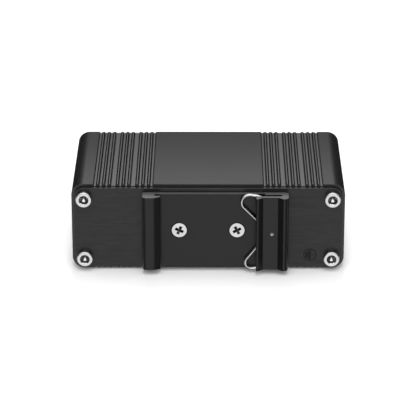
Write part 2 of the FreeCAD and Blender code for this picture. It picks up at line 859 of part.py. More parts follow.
def power_screws():
    """Slotted clamp screws standing on the wire cages."""
    screws = []
    for x in power_places():
        seat = V(x, PLUG_FRONT - CLAMP_BACK, CAGE_Z + CAGE_H)
        top = seat.z + CLAMP_L
        slot_z = (top - CLAMP_SLOT_DEPTH, top)
        slot = block(span(x, 2 * CLAMP_R), span(seat.y, CLAMP_SLOT_W), slot_z)
        screws.append(rod(CLAMP_R, CLAMP_L, seat, UPWARD).cut(slot))
    return group(screws)


# Status lamps

def lamp_heights():
    return evenly(LAMP_MID_Z, LAMP_PITCH, LAMP_COUNT)


def lamp_block():
    zs = (BOARD_TOP, BOARD_TOP + LAMP_BLOCK_H)
    return block(span(LAMP_X, LAMP_BLOCK_W), (BOARD_FRONT - LAMP_BLOCK_L, BOARD_FRONT), zs)


def lamp_lenses():
    """Round lenses from the lamp block through the plate, with a domed end."""
    length = FRONT_FACE + LAMP_PROUD - BOARD_FRONT
    lenses = []
    for z in lamp_heights():
        lens = turned([
            (0, 0, 0),
            (LAMP_R, 0, 0),
            (LAMP_R, length, LAMP_PROUD),
            (0, length, 0),
        ])
        lens.translate(V(LAMP_X, BOARD_FRONT, z))
        lenses.append(lens)
    return group(lenses)


# Board components

def on_board(place, size, radius):
    """Block of a size standing on the board, its upright corners rounded."""
    x, behind = place
    outline = rectangle(x, CASE_FRONT - behind, size[0], size[1], radius)
    return prism(outline, on_xy(BOARD_TOP), UPWARD * size[2])


def line_driver_chips():
    return group(on_board(place, DRIVER_SIZE, CHIP_EDGE) for place in DRIVERS)


def bulk_capacitors():
    """Upright cans with a rolled groove near the foot."""
    cans = []
    neck = CAPACITOR_R - CAPACITOR_GROOVE
    for x, behind in CAPACITORS:
        can = turned([
            (0, 0, 0),
            (CAPACITOR_R, 0, 0),
            (CAPACITOR_R, CAPACITOR_FOOT, 0),
            (neck, CAPACITOR_FOOT + CAPACITOR_GROOVE, 0),
            (CAPACITOR_R, CAPACITOR_FOOT + 2 * CAPACITOR_GROOVE, 0),
            (CAPACITOR_R, CAPACITOR_H - CAPACITOR_GROOVE, 0),
            (neck, CAPACITOR_H, 0),
            (0, CAPACITOR_H, 0),
        ])
        can.rotate(V(0, 0, 0), V(1, 0, 0), 90)
        can.translate(V(x, CASE_FRONT - behind, BOARD_TOP))
        cans.append(can)
    return group(cans)


def all_parts():
    return {
        "extruded_case": extruded_case(),
        "rear_plate": rear_plate(),
        "front_plate": front_plate(),
        "rear_plate_screws": plate_screws(REAR_FACE, 180),
        "front_plate_screws": plate_screws(FRONT_FACE, 0),
        "din_clip": din_clip(),
        "din_clip_screws": din_clip_screws(),
        "clip_nuts": clip_nuts(),
        "din_spring": din_spring(),
        "spring_pin": spring_pin(),
        "main_board": main_board(),
        "fibre_transceiver": fibre_transceiver(),
        "ferrule_sleeves": ferrule_sleeves(),
        "fibre_latches": fibre_latches(),
        "transceiver_pins": transceiver_pins(),
        "serial_shell": serial_shell(),
        "serial_contact_block": serial_contact_block(),
        "serial_rear_body": serial_rear_body(),
        "serial_contacts": serial_contacts(),
        "serial_brackets": serial_brackets(),
        "serial_jackscrews": serial_jackscrews(),
        "power_header": power_header(),
        "power_pins": power_pins(),
        "power_plug": power_plug(),
        "power_clamps": power_clamps(),
        "power_screws": power_screws(),
        "lamp_block": lamp_block(),
        "lamp_lenses": lamp_lenses(),
        "processor_chip": on_board(PROCESSOR[:2], PROCESSOR[2:], CHIP_EDGE),
        "line_driver_chips": line_driver_chips(),
        "power_module": on_board(SUPPLY[:2], SUPPLY[2:], SUPPLY_EDGE),
        "power_inductor": on_board(INDUCTOR[:2], INDUCTOR[2:], INDUCTOR_R),
        "bulk_capacitors": bulk_capacitors(),
        "clock_crystal": on_board(CRYSTAL[:2], CRYSTAL[2:], CRYSTAL[3] / 2),
    }


def main():
    os.makedirs("parts", exist_ok=True)
    for name, shape in all_parts().items():
        valid = "valid" if shape.isValid() else "NOT VALID"
        print(f"{name}: {len(shape.Solids)} solids, {shape.Volume:.1f} mm3, {valid}")
        shape.exportStep(f"parts/{name}.step")


main()
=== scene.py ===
# %% [markdown]
# # Serial to fibre converter, lying on its ribbed side
# The solids come from the CAD model and stay where they are. This script gives each of them its
# finish, adds the small turned, gilt and printed details, and sets up floor, light and camera.

# %% Load the solids
import math

import bmesh
import bpy
import numpy as np
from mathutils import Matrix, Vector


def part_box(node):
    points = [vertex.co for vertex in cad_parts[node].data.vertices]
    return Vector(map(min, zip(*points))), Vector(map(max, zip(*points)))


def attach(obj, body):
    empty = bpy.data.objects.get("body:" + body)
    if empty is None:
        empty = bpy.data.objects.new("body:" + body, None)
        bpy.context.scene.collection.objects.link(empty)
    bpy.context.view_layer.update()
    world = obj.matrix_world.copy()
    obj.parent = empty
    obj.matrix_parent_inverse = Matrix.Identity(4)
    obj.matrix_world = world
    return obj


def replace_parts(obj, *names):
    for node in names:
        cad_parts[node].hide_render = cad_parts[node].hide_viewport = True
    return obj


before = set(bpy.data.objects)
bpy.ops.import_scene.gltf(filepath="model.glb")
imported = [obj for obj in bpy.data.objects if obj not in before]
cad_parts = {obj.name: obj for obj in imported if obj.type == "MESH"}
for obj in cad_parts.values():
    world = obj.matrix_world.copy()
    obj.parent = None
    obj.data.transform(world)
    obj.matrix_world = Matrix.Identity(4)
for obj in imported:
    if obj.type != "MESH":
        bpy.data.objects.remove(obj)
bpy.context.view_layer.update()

MM = 0.001

# %% [markdown]
# ## Surfaces from grids of numbers
# Every added detail here is turned, pressed or printed, so it is easiest to describe as a surface with
# two parameters: one along a profile and one around an axis. The grid of points is worked out as
# whole arrays, then put into a mesh. Merging doubles closes the poles, and recalculating the normals
# turns every face outwards, so no care is needed over the order of the corners.

# %% Grid helpers
def round_angles(columns):
    """Even angles round an axis, from 0 up to a full turn, which isn't repeated."""
    return np.linspace(0, 2 * math.pi, columns, endpoint=False)


def ring_quads(rows, columns):
    """Quads between neighbours of a grid: row i to i + 1, column j to j + 1, the last joined to the first."""
    row = np.arange(rows - 1)[:, None]
    column = np.arange(columns)[None, :]
    following = (column + 1) % columns
    corners = (row * columns + column, row * columns + following,
               (row + 1) * columns + following, (row + 1) * columns + column)
    return np.stack(np.broadcast_arrays(*corners), axis=-1).reshape(-1, 4)


def turned(radius, height, places, outward, turns=0.0):
    """Surface about Y at each place: x = r cos(a + turn), z = r sin(a + turn), y = outward * h.

    radius and height are grids of rows along the profile and columns round the axis."""
    radius, height = np.broadcast_arrays(radius, height)
    angle = round_angles(radius.shape[1])
    angle = angle + np.radians(np.broadcast_to(turns, len(places)))[:, None, None]
    across = radius * np.cos(angle)
    up = radius * np.sin(angle)
    out = np.broadcast_to(outward * height, across.shape)
    points = np.stack([across, out, up], axis=-1) + np.asarray(places)[:, None, None, :]
    quads = ring_quads(*radius.shape)
    quads = quads + (np.arange(len(places)) * radius.size)[:, None, None]
    return points.reshape(-1, 3), quads.reshape(-1, 4)


# %% Adding a piece
SAME_POINT = 0.0001 * MM


def add_piece(name, points, quads, recess_shade=None, sharp_deg=35.0):
    """Mesh object of points and quads at the origin, doubles merged, faces outwards, riding on the case.

    The painted shade in recesses is a value from 0 to 1 at each point, kept as a point attribute for the
    finish."""
    mesh = bpy.data.meshes.new(name)
    mesh.from_pydata(points.tolist(), [], quads.tolist())
    depths = mesh.attributes.new("recess_shade", "FLOAT", "POINT")
    depths.data.foreach_set("value", np.zeros(len(points)) if recess_shade is None else recess_shade)
    work = bmesh.new()
    work.from_mesh(mesh)
    bmesh.ops.remove_doubles(work, verts=work.verts, dist=SAME_POINT)
    bmesh.ops.recalc_face_normals(work, faces=work.faces)
    work.to_mesh(mesh)
    work.free()
    mesh.shade_smooth()
    mesh.set_sharp_from_angle(angle=math.radians(sharp_deg))
    piece = bpy.data.objects.new(name, mesh)
    bpy.context.scene.collection.objects.link(piece)
    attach(piece, "root")
    print(name, "faces:", len(mesh.polygons))
    return piece


# %% [markdown]
# ## Cap screws
# Four socket cap screws hold each end plate. The head is turned, with a rolled top edge. The hexagon is
# pressed in cold below a small round chamfer, over a drilled hole whose point shows at the bottom. A boolean
# cut would do, but one surface is cleaner: the profile runs from the end of the shank over the head and
# down into the socket, and below the chamfer the radius swells towards six corners.

# %% Cap screw profile
HEAD_R = 2.65 * MM
HEAD_H = 2.1 * MM
HEAD_EDGE = 0.32 * MM
HEAD_FOOT = 0.1 * MM
SHANK_R = 1.46 * MM
SHANK_L = 8.0 * MM
SHANK_CHAMFER = 0.15 * SHANK_R
SOCKET_MOUTH_R = 1.62 * MM
SOCKET_CHAMFER = 0.18 * MM
SOCKET_HALF_FLATS = 1.25 * MM
SOCKET_DEPTH = 1.2 * MM
DRILL_R = 1.05 * MM
DRILL_POINT = 0.6 * MM
EDGE_ROWS = 8

# Each row of the profile: radius, height over the seat, and 1 where it is six-sided
below_head = np.array([
    [0, -SHANK_L, 0],
    [SHANK_R - SHANK_CHAMFER, -SHANK_L, 0],
    [SHANK_R, SHANK_CHAMFER - SHANK_L, 0],
    [SHANK_R, 0, 0],
    [HEAD_R - HEAD_FOOT, 0, 0],
    [HEAD_R, HEAD_FOOT, 0],
])
edge_angle = np.linspace(0, math.pi / 2, EDGE_ROWS)
head_edge = np.column_stack([
    HEAD_R - HEAD_EDGE * (1 - np.cos(edge_angle)),
    HEAD_H - HEAD_EDGE * (1 - np.sin(edge_angle)),
    np.zeros_like(edge_angle),
])
socket = np.array([
    [SOCKET_MOUTH_R, HEAD_H, 0],
    [SOCKET_HALF_FLATS, HEAD_H - SOCKET_CHAMFER, 1],
    [SOCKET_HALF_FLATS, HEAD_H - SOCKET_DEPTH, 1],
])
# Share of the drill's radius at each row of its cone
cone = np.array([1.0, 0.95, 0.3, 0.1, 0.0])
drill_point = np.column_stack([
    DRILL_R * cone,
    HEAD_H - SOCKET_DEPTH - DRILL_POINT * (1 - cone),
    np.zeros_like(cone),
])
cap_profile = np.concatenate([below_head, head_edge, socket, drill_point])
# Painted shade on the last rows, from the foot of the chamfer to the point of the drill: how far it darkens
# the metal
SOCKET_PAINTED_SHADE = (0.7, 0.8, 0.7, 0.5, 0.25, 0.25, 0.25)
cap_recess_shade = np.zeros(len(cap_profile))
cap_recess_shade[-len(SOCKET_PAINTED_SHADE):] = SOCKET_PAINTED_SHADE
print("cap screw rows:", len(cap_profile))

# %% Cap screws in the end plates
SCREW_COLUMNS = 96
# The chamfer of the socket leans by only 26 degrees, so edges count as sharp from 20
CAP_SHARP_DEG = 20.0
REAR_TURNS = (24, 8, 41, 17)
FRONT_TURNS = (11, 35, 3, 28)


def six_sided(radius, hexness, columns):
    """Radius at each angle: r for a circle, r / cos(angle from the nearest flat) for a hexagon."""
    sixth = math.pi / 3
    from_flat = (round_angles(columns) + sixth / 2) % sixth - sixth / 2
    return radius[:, None] * (1 - hexness[:, None] + hexness[:, None] / np.cos(from_flat))


def cap_screws(name, node, seat_y, outward, turns):
    """Four screws in the corners of a node's box, seated at a place along Y, each turned by some degrees."""
    low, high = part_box(node)
    xs = (low.x + HEAD_R, high.x - HEAD_R)
    zs = (low.z + HEAD_R, high.z - HEAD_R)
    places = [(x, seat_y, z) for x in xs for z in zs]
    radius = six_sided(cap_profile[:, 0], cap_profile[:, 2], SCREW_COLUMNS)
    points, quads = turned(radius, cap_profile[:, 1:2], places, outward, turns)
    recess_shade = np.tile(np.repeat(cap_recess_shade, SCREW_COLUMNS), len(places))
    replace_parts(add_piece(name, points, quads, recess_shade, CAP_SHARP_DEG), node)


rear_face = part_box("rear_plate")[0].y
front_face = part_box("front_plate")[1].y
cap_screws("rear_cap_screws", "rear_plate_screws", rear_face, -1, REAR_TURNS)
cap_screws("front_cap_screws", "front_plate_screws", front_face, 1, FRONT_TURNS)

# %% [markdown]
# ## Cross-head screws of the rail clip
# The two countersunk heads lie almost flush in the clip. The cross is punched with a tapered tool, so its
# four wings rise from a deep middle to the surface, and its walls lean. A boolean cut would leave long thin
# faces, so the flat head is a height field on a polar grid: the depth at a point follows from how far out
# along a wing it is and how far off that wing's middle line.

# %% Cross shape
CROSS_REACH = 1.45 * MM
CROSS_HALF_W = 0.37 * MM
CROSS_LEAN = 0.1 * MM
CROSS_DEPTH = 1.15 * MM
CROSS_TAPER = 0.4


def smooth_step(value):
    """3 t^2 - 2 t^3 with t held between 0 and 1."""
    t = np.clip(value, 0, 1)
    return t * t * (3 - 2 * t)


def cross_depth(radius, angle):
    """Depth of the cross at polar places: taper along the nearer wing times the step across its wall."""
    along = radius * np.maximum(np.abs(np.cos(angle)), np.abs(np.sin(angle)))
    aside = radius * np.minimum(np.abs(np.cos(angle)), np.abs(np.sin(angle)))
    taper = np.clip((CROSS_REACH - along) / (CROSS_REACH - CROSS_HALF_W), 0, 1) ** CROSS_TAPER
    return CROSS_DEPTH * taper * smooth_step((CROSS_HALF_W + CROSS_LEAN - aside) / CROSS_LEAN)


print("depth in the middle in mm:", round(float(cross_depth(0.0, 0.0)) / MM, 2))

# %% Cross-head screws
CROSS_HEAD_R = 2.5 * MM
CROSS_LAND = 0.4 * MM
CROSS_EDGE = 0.05 * MM
CROSS_TURNS = (-24, 28)
CROSS_COLUMNS = 192
FACE_ROWS = 70


def cross_screws(name, node):
    """Two screws at the ends of a node's box: shank, cone and land turned, then the face with its cross."""
    low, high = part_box(node)
    middle_z = (low.z + high.z) / 2
    places = [(x, low.y, middle_z) for x in (low.x + CROSS_HEAD_R, high.x - CROSS_HEAD_R)]
    cone_end = CROSS_LAND + CROSS_HEAD_R - SHANK_R
    length = high.y - low.y
    side = np.array([
        [0, -length],
        [SHANK_R, -length],
        [SHANK_R, -cone_end],
        [CROSS_HEAD_R, -CROSS_LAND],
        [CROSS_HEAD_R, -CROSS_EDGE],
    ])
    all_round = np.ones((1, CROSS_COLUMNS))
    face_r = np.linspace(CROSS_HEAD_R - CROSS_EDGE, 0, FACE_ROWS)[:, None]
    face_h = -cross_depth(face_r, round_angles(CROSS_COLUMNS)[None, :])
    radius = np.concatenate([side[:, :1], face_r]) * all_round
    height = np.concatenate([side[:, 1:] * all_round, face_h])
    points, quads = turned(radius, height, places, -1, CROSS_TURNS)
    depth = np.concatenate([np.zeros((len(side), CROSS_COLUMNS)), -face_h])
    # Painted shade in the cross, full from a third of the depth downwards
    recess_shade = np.tile(smooth_step(3 * depth / CROSS_DEPTH).ravel(), len(places))
    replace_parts(add_piece(name, points, quads, recess_shade), node)


cross_screws("clip_cross_screws", "din_clip_screws")

# %% [markdown]
# ## Gilt contacts
# Behind each of the nine holes of the serial socket sits a gilt tube that takes the plug's pin. Only its
# mouth can be seen, as a thin bright ring a little way in. A flat ring would do from straight in front, but a
# short tube also holds when seen from the side. It is a rectangular wall section carried round each axis.

# %% Contact tubes
CONTACT_PITCH = 2.77 * MM
CONTACT_ROW = 1.42 * MM
TUBE_R = 0.52 * MM
TUBE_BORE_R = 0.38 * MM
TUBE_IN = 0.3 * MM
TUBE_L = 3.6 * MM
TUBE_COLUMNS = 24

low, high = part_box("serial_contact_block")
middle_x = (low.x + high.x) / 2
middle_z = (low.z + high.z) / 2


def contact_row(count, z):
    """Places of a row of holes: x = middle + (i - (count - 1) / 2) * pitch, a little inside the face."""
    xs = middle_x + (np.arange(count) - (count - 1) / 2) * CONTACT_PITCH
    return np.column_stack([xs, np.full(count, high.y - TUBE_IN), np.full(count, z)])


places = np.concatenate([contact_row(5, middle_z + CONTACT_ROW), contact_row(4, middle_z - CONTACT_ROW)])
section = np.array([[TUBE_R, 0], [TUBE_BORE_R, 0], [TUBE_BORE_R, -TUBE_L], [TUBE_R, -TUBE_L], [TUBE_R, 0]])
points, quads = turned(section[:, :1] * np.ones((1, TUBE_COLUMNS)), section[:, 1:], places, 1)
add_piece("serial_contact_tubes", points, quads)

# %% [markdown]
# ## Earth mark
# Next to the lower right screw the rear plate carries the standard earth sign in a circle, printed in
# black on black, so that it shows only as a slightly darker patch. A texture could paint it, but thin
# strokes keep their sharp edges: the ring is a flat section carried round a circle, and the four bars
# are flat boxes, all two hundredths of a millimetre proud of the plate.

# %% Earth mark
MARK_X = 33.7 * MM
MARK_Z = 5.3 * MM
MARK_R = 2.2 * MM
MARK_LINE = 0.3 * MM
MARK_T = 0.02 * MM
MARK_COLUMNS = 96
# Each stroke: middle to the right of the mark's middle, width and height
STROKES = np.array([[0.98, 1.4, 0.24], [0.06, 0.42, 3.6], [-0.53, 0.5, 2.8], [-1.22, 0.6, 1.9]]) * MM
BOX_CORNERS = np.array([[x, y, z] for y in (0, 1) for x, z in ((-1, -1), (1, -1), (1, 1), (-1, 1))])
BOX_QUADS = np.array([[0, 1, 2, 3], [4, 5, 6, 7], [0, 1, 5, 4], [1, 2, 6, 5], [2, 3, 7, 6], [3, 0, 4, 7]])

inner_r = MARK_R - MARK_LINE
ring = np.array([[MARK_R, 0], [MARK_R, MARK_T], [inner_r, MARK_T], [inner_r, 0], [MARK_R, 0]])
mark_place = np.array([MARK_X, rear_face, MARK_Z])
ring_points, ring_faces = turned(ring[:, :1] * np.ones((1, MARK_COLUMNS)), ring[:, 1:], [mark_place], -1)
half_sizes = np.column_stack([STROKES[:, 1] / 2, np.full(len(STROKES), -MARK_T), STROKES[:, 2] / 2])
stroke_points = BOX_CORNERS[None] * half_sizes[:, None] + mark_place
stroke_points[:, :, 0] += STROKES[:, :1]
first_corners = len(ring_points) + len(BOX_CORNERS) * np.arange(len(STROKES))
stroke_quads = BOX_QUADS[None] + first_corners[:, None, None]
add_piece(
    "earth_mark",
    np.concatenate([ring_points, stroke_points.reshape(-1, 3)]),
    np.concatenate([ring_faces, stroke_quads.reshape(-1, 4)]),
)

# %% [markdown]
# ## Nodes in few words
# A finish is a small network of nodes. Blender takes one line to make a node, one for each value and one for
# each link, which gets long and hard to follow. These helpers make a node and feed its sockets in one call:
# a socket gets a link if its source is another node's output, and a constant otherwise. Sums and mixes have
# a short form of their own, because nearly every effect needs them: calculate, calculate_vector and mix.

# %% Node helpers
# First input, second input and output of a Mix node by number, because its kinds share their names
MIX_SOCKETS = {"FLOAT": (2, 3, 0), "VECTOR": (4, 5, 1), "RGBA": (6, 7, 2)}


def feed(tree, socket, source):
    """Links another node's output into a socket, or sets a constant there."""
    if isinstance(source, bpy.types.NodeSocket):
        tree.links.new(source, socket)
    else:
        socket.default_value = source


def add_node(tree, kind, sources=None, **settings):
    """Node of a kind with its settings; sources maps a socket's name or number to what feeds it."""
    node = tree.nodes.new(kind)
    for key, value in settings.items():
        setattr(node, key, value)
    for socket, source in (sources or {}).items():
        feed(tree, node.inputs[socket], source)
    return node


def calculate(tree, operation, *sources, clamp=False):
    """Output of a Math node, a number worked out from one to three others."""
    node = add_node(tree, "ShaderNodeMath", dict(enumerate(sources)), operation=operation, use_clamp=clamp)
    return node.outputs[0]


def calculate_vector(tree, operation, *sources):
    """Output of a Vector Math node: a number for a dot product, and otherwise a vector."""
    node = add_node(tree, "ShaderNodeVectorMath", dict(enumerate(sources)), operation=operation)
    return node.outputs["Value" if operation == "DOT_PRODUCT" else "Vector"]


def mix(tree, kind, factor, first, second):
    """Output of a Mix node: the first source where the factor is 0, the second where it is 1."""
    one, two, out = MIX_SOCKETS[kind]
    return add_node(tree, "ShaderNodeMix", {0: factor, one: first, two: second}, data_type=kind).outputs[out]


# %% Group helpers
def new_group(name, inputs, outputs):
    """Group with named sockets, given by name and type; also the sockets inside it to read and to feed."""
    group = bpy.data.node_groups.new(name, "ShaderNodeTree")
    for in_out, sockets in (("INPUT", inputs), ("OUTPUT", outputs)):
        for title, kind in sockets.items():
            group.interface.new_socket(title, in_out=in_out, socket_type=kind)
    return group, group.nodes.new("NodeGroupInput").outputs, group.nodes.new("NodeGroupOutput").inputs


def place_group(tree, group, **sources):
    """Places a group in a tree, feeds its sockets by name and gives its outputs."""
    return add_node(tree, "ShaderNodeGroup", sources, node_tree=group).outputs


# %% [markdown]
# ## Grain
# Blasted, brushed and drawn metal and moulded plastic all have a fine grain, and what differs most is how far
# it is drawn out. Pictures of them would need a flat map of every surface. This group stretches noise along
# an axis instead: unstretched it is a matt blast, drawn out it is brushing or die lines. Low and High are
# the two ends that it swings between, for a roughness, a gloss or a height.

# %% Grain
FLOAT = "NodeSocketFloat"
VECTOR = "NodeSocketVector"

grain, ins, outs = new_group(
    "grain", {"Stretch": VECTOR, "Scale": FLOAT, "Low": FLOAT, "High": FLOAT}, {"Value": FLOAT})
place = add_node(grain, "ShaderNodeTexCoord").outputs["Object"]
drawn = calculate_vector(grain, "MULTIPLY", place, ins["Stretch"])
noise = add_node(
    grain, "ShaderNodeTexNoise", {"Vector": drawn, "Scale": ins["Scale"], "Detail": 4.0, "Roughness": 0.6})
levels = add_node(grain, "ShaderNodeMapRange", {
    "Value": noise.outputs[0], "From Min": 0.3, "From Max": 0.7, "To Min": ins["Low"], "To Max": ins["High"]})
feed(grain, outs["Value"], levels.outputs[0])
print("group:", grain.name, len(grain.nodes), "nodes")

# %% [markdown]
# ## Tone drift
# No real finish has one even colour: an anodising bath, a moulding or a coat of lacquer wanders slowly from
# one tone to another. Brush strokes on a painted map could show it, but soft noise between two close
# colours does the same with no map at all.

# %% Tone drift
COLOR = "NodeSocketColor"

tone_drift, ins, outs = new_group(
    "tone_drift", {"Dark": COLOR, "Light": COLOR, "Scale": FLOAT}, {"Color": COLOR})
place = add_node(tone_drift, "ShaderNodeTexCoord").outputs["Object"]
noise = add_node(tone_drift, "ShaderNodeTexNoise", {"Vector": place, "Scale": ins["Scale"], "Detail": 3.0})
feed(tone_drift, outs["Color"], mix(tone_drift, "RGBA", noise.outputs[0], ins["Dark"], ins["Light"]))
print("group:", tone_drift.name, len(tone_drift.nodes), "nodes")

# %% [markdown]
# ## Soft edge
# No edge of a real part is quite sharp: it is rounded by a tenth of a millimetre or two. A bevel in the mesh
# would round it too, but the solids stay as they are, so the bevel node rounds only the normal that the light
# sees. Where that normal turns away from the true one there is an edge, which gives the mask for paler edges:
# rubbed wear on the mouldings, and a painted highlight along the edges of the plates.

# %% Soft edge
soft_edge, ins, outs = new_group(
    "soft_edge", {"Width": FLOAT, "Gain": FLOAT}, {"Mask": FLOAT, "Normal": VECTOR})
rounded = add_node(soft_edge, "ShaderNodeBevel", {"Radius": ins["Width"]}, samples=16).outputs["Normal"]
true_normal = add_node(soft_edge, "ShaderNodeNewGeometry").outputs["Normal"]
facing = calculate_vector(soft_edge, "DOT_PRODUCT", rounded, true_normal)
turned_away = calculate(soft_edge, "SUBTRACT", 1.0, facing)
feed(soft_edge, outs["Mask"], calculate(soft_edge, "MULTIPLY", turned_away, ins["Gain"], clamp=True))
feed(soft_edge, outs["Normal"], rounded)
print("group:", soft_edge.name, len(soft_edge.nodes), "nodes")

# %% [markdown]
# ## Cut face
# An extruded bar is sawn to length, and the sawn ends take the dye differently from its skin. They could be
# picked by hand, face by face. But they are all square to the bar, so a face counts as sawn where its
# normal lies along the bar's axis, one way or the other.

# %% Cut face
SQUARE_COSINE = 0.97

cut_face, ins, outs = new_group("cut_face", {"Axis": VECTOR}, {"Mask": FLOAT})
true_normal = add_node(cut_face, "ShaderNodeNewGeometry").outputs["Normal"]
along = calculate(cut_face, "ABSOLUTE", calculate_vector(cut_face, "DOT_PRODUCT", true_normal, ins["Axis"]))
feed(cut_face, outs["Mask"], calculate(cut_face, "GREATER_THAN", along, SQUARE_COSINE))
print("group:", cut_face.name, len(cut_face.nodes), "nodes")

# %% [markdown]
# ## Rib crown
# The case has a ribbed strip on each side of its plain middle, above and below. The crowns of the ribs are
# rubbed flat and bright, and a dark line runs along each side of a crown. Squarer ribs in the mesh would
# show this, but the solids stay as they are. So this group finds the strips by their distance from the
# middle. It turns the normal upright on the crowns and groove floors and gives them gloss, and on the flanks
# between them it leans the normal further out, as on a steeper flank. The whole strip is a little more matt
# than the rest.

# %% Rib crown
# Share that is kept of the upward part of a flank's normal
FLANK_UPWARD = 0.25
# On anything smoother the picture's noise filter breaks thin bright lines into beads
LEAST_MATT = 0.28

rib_crown, ins, outs = new_group(
    "rib_crown",
    {"Middle": FLOAT, "Half": FLOAT, "Gloss": FLOAT, "Matt": FLOAT, "Normal": VECTOR},
    {"Gloss": FLOAT, "Matt": FLOAT, "Normal": VECTOR},
)
place = add_node(rib_crown, "ShaderNodeTexCoord").outputs["Object"]
sideways = add_node(rib_crown, "ShaderNodeSeparateXYZ", {0: place}).outputs["X"]
aside = calculate(rib_crown, "ABSOLUTE", sideways)
in_strip = calculate(rib_crown, "COMPARE", aside, ins["Middle"], ins["Half"])
upward = add_node(rib_crown, "ShaderNodeSeparateXYZ", {0: ins["Normal"]}).outputs["Z"]
levelness = calculate(rib_crown, "ABSOLUTE", upward)
crown = add_node(
    rib_crown, "ShaderNodeMapRange", {"Value": levelness, "From Min": 0.94, "From Max": 0.97},
    interpolation_type="SMOOTHSTEP")
on_crown = calculate(rib_crown, "MULTIPLY", in_strip, crown.outputs[0])
up_or_down = calculate(rib_crown, "SIGN", upward)
upright = add_node(rib_crown, "ShaderNodeCombineXYZ", {"Z": up_or_down}).outputs[0]
steep = calculate_vector(rib_crown, "MULTIPLY", ins["Normal"], (1.0, 1.0, FLANK_UPWARD))
turned_down = mix(rib_crown, "VECTOR", in_strip, ins["Normal"], steep)
turned_up = mix(rib_crown, "VECTOR", on_crown, turned_down, upright)
feed(rib_crown, outs["Gloss"], calculate(rib_crown, "MULTIPLY", on_crown, ins["Gloss"]))
feed(rib_crown, outs["Matt"], mix(rib_crown, "FLOAT", in_strip, ins["Matt"], LEAST_MATT))
feed(rib_crown, outs["Normal"], calculate_vector(rib_crown, "NORMALIZE", turned_up))
print("group:", rib_crown.name, len(rib_crown.nodes), "nodes")

# %% [markdown]
# ## From effects to finishes
# Each finish is one material with Blender's all-purpose shader. A value that is the same all over goes
# straight onto the shader's own socket, and what varies comes out of the groups. Several pieces wear the
# same finish, so it is given to them by name.

# %% Finish helpers
def grey(level):
    """Grey of a level, as a colour for a socket."""
    return (level, level, level, 1.0)


def into_shader(tree, **sources):
    """Feeds the shader's sockets by name, with _ for each space in a name."""
    for title, source in sources.items():
        feed(tree, tree.nodes["Principled BSDF"].inputs[title.replace("_", " ")], source)


def new_finish(name, **constants):
    """Material and its tree; the constants go on the shader's own sockets."""
    finish = bpy.data.materials.new(name)
    finish.use_nodes = True
    into_shader(finish.node_tree, **constants)
    return finish, finish.node_tree


def bumped(tree, height, strength, depth, normal=None):
    """Normal of a bump of a depth in metres, on top of a rounded normal if there is one."""
    sources = {"Height": height, "Strength": strength, "Distance": depth}
    if normal is not None:
        sources["Normal"] = normal
    return add_node(tree, "ShaderNodeBump", sources).outputs["Normal"]


def wear(finish, *names):
    """Gives a finish to CAD nodes or new pieces by name."""
    for name in names:
        mesh = bpy.data.objects[name].data
        mesh.materials.clear()
        mesh.materials.append(finish)
    print(finish.name, "on", ", ".join(names))


# %% [markdown]
# ## Black anodised aluminium
# Case, plates and clip are aluminium with a black oxide skin: a dark body under a satin gloss that comes
# from a fine etched grain. What tells them apart is the direction of their lines: along the extrusion on
# the case, along the long side on the brushed plates, along the bar on the clip. The sawn ends of the bars
# take the dye less well and are paler, and the edges of the plates carry a painted highlight. One function
# makes all three, with the lines' direction, the gloss and these tones as its values. The case alone gets
# the rib effect, and the plates get a second, longer grain in their coat for the level streaks of brushing.

# %% Anodised skin
# Middle and half width of the ribbed strips, measured from the middle of the case
RIBS_MIDDLE = 27.9 * MM
RIBS_HALF = 9.5 * MM
# Lines are a hundred times as long as they are wide
LINE_SQUEEZE = 0.01


def anodised(name, axis, gloss, tones, matt, line_scale, line_depth, edge_w, rib_gloss=0.0):
    """Black oxide with lines along an axis; tones: darkest, lightest, sawn ends, edges (paler as wear, and on
    the plates a painted highlight).
    """
    dark, light, cut, edge_wear_and_highlight = tones
    finish, tree = new_finish(name, Specular_IOR_Level=gloss, Coat_Roughness=LEAST_MATT)
    stretch = tuple(LINE_SQUEEZE if part else 1.0 for part in axis)
    tone = place_group(tree, tone_drift, Dark=grey(dark), Light=grey(light), Scale=70.0)["Color"]
    sawn = place_group(tree, cut_face, Axis=axis)["Mask"]
    edge = place_group(tree, soft_edge, Width=edge_w, Gain=2.5)
    skin = place_group(tree, grain, Stretch=stretch, Scale=line_scale, Low=matt[0], High=matt[1])["Value"]
    fine = place_group(tree, grain, Stretch=stretch, Scale=5000.0, Low=0.0, High=1.0)["Value"]
    body = mix(tree, "RGBA", sawn, tone, grey(cut))
    normal = edge["Normal"]
    if rib_gloss:
        ribs = place_group(
            tree, rib_crown, Middle=RIBS_MIDDLE, Half=RIBS_HALF, Gloss=rib_gloss, Matt=skin, Normal=normal)
        into_shader(tree, Coat_Weight=ribs["Gloss"])
        skin = ribs["Matt"]
        normal = ribs["Normal"]
    # Paler edges: a little wear, and on the plates a painted highlight
    into_shader(
        tree,
        Base_Color=mix(tree, "RGBA", edge["Mask"], body, grey(edge_wear_and_highlight)),
        Roughness=skin,
        Normal=bumped(tree, fine, strength=0.2, depth=line_depth, normal=normal),
    )
    return finish


# %% Anodised finishes
case_black = anodised(
    "case_black", axis=(0, 1, 0), gloss=0.46, tones=(0.006, 0.008, 0.026, 0.008), matt=(0.19, 0.22),
    line_scale=7000.0, line_depth=0.001 * MM, edge_w=0.2 * MM, rib_gloss=0.85)
